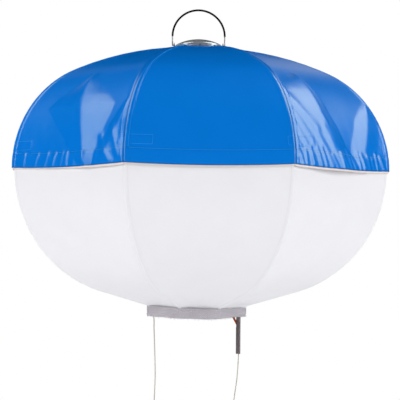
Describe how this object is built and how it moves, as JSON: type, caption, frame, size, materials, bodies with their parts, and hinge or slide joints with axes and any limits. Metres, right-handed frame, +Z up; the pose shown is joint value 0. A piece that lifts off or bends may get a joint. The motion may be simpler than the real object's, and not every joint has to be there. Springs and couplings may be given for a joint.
{
  "type": "hanging balloon light",
  "caption": "Hanging balloon work light: glossy rain cover over a white diffusing envelope on sprung rods, wire bail on top, webbing neck and draw cord lock below",
  "frame": {"origin": "hook seat, the underside of the sleeve at the top of the bail, where the light hangs from a hook", "axes": "+Z up along the mast, one flat gore faces -Y, the bail's pivot runs along X"},
  "size_m": [1.0162, 1.0162, 1.3966],
  "materials": {
    "polished_steel": "polished",
    "black_sleeve": "satin",
    "dark_steel": "plain",
    "blue_coated_cloth": "glossy coated cloth",
    "navy_tape": "hook and loop tape",
    "white_cloth": "matt white",
    "grey_webbing": "woven webbing",
    "aluminium": "machined",
    "glass_fibre": "pultruded rod",
    "black_plastic": "moulded",
    "black_rubber": "cable sheath",
    "board_white": "lamp boards",
    "board_green": "circuit board",
    "clear_lens": "frosted",
    "grey_housing": "satin paint",
    "brass": "plain",
    "red_plastic": "moulded",
    "grey_tube": "anodised",
    "red_brown_paint": "satin paint",
    "cord": "braided cord"
  },
  "bodies": {
    "core": {"top_cap": "polished_steel", "cap_screws": "dark_steel", "bail_lug_left": "polished_steel", "bail_lug_right": "polished_steel", "cover": "blue_coated_cloth", "hem_tabs": "navy_tape", "envelope": "white_cloth", "collar_band": "grey_webbing", "top_hub": "aluminium", "upper_ferrules": "aluminium", "rib_1": "glass_fibre", "rib_2": "glass_fibre", "rib_3": "glass_fibre", "rib_4": "glass_fibre", "rib_5": "glass_fibre", "rib_6": "glass_fibre", "rib_7": "glass_fibre", "rib_8": "glass_fibre", "lower_ferrules": "aluminium", "lower_hub": "aluminium", "mast_inner": "aluminium", "mast_bush": "black_plastic", "mast_outer": "aluminium", "heat_sink": "aluminium", "led_boards": "board_white", "lens_tube": "clear_lens", "lens_cap_upper": "black_plastic", "lens_cap_lower": "black_plastic", "lens_ties": "dark_steel", "lamp_lead": "black_rubber", "driver_housing": "grey_housing", "driver_board": "board_green", "housing_screws": "dark_steel", "stand_socket": "grey_housing", "inlet_body": "black_plastic", "inlet_contacts": "brass", "lid_pin": "dark_steel", "switch_bezel": "black_plastic", "lock_bracket": "polished_steel", "lock_tube": "grey_tube", "pawl_pin": "dark_steel", "draw_eye": "dark_steel", "draw_cord_inner": "cord", "draw_cord": "cord", "steady_eye": "dark_steel", "steady_cord": "cord", "cord_knots": "cord"},
    "bail": {"bail_wire": "polished_steel", "bail_grip": "black_sleeve"},
    "clamp": {"clamp_screw": "black_plastic"},
    "lid": {"inlet_lid": "black_plastic"},
    "rocker": {"switch_rocker": "red_plastic"},
    "pawl": {"lock_pawl": "red_brown_paint"}
  },
  "joints": [
    {"name": "bail_swing", "type": "hinge", "parent": "core", "child": "bail", "pos_m": [0, 0, -0.0985], "axis": [1, 0, 0], "range_deg": [-88, 88]},
    {"name": "clamp_turn", "type": "hinge", "parent": "core", "child": "clamp", "pos_m": [0, 0.03, -0.867], "axis": [0, 1, 0], "continuous": true},
    {"name": "inlet_lid_hinge", "type": "hinge", "parent": "core", "child": "lid", "pos_m": [0, -0.0715, -0.865], "axis": [1, 0, 0], "range_deg": [-100, 0]},
    {"name": "switch_rock", "type": "hinge", "parent": "core", "child": "rocker", "pos_m": [-0.052, 0, -0.8555], "axis": [0, 1, 0], "range_deg": [-16, 0]},
    {"name": "lock_release", "type": "hinge", "parent": "core", "child": "pawl", "pos_m": [0.1, 0, -0.867], "axis": [0, 1, 0], "range_deg": [0, 30]}
  ]
}
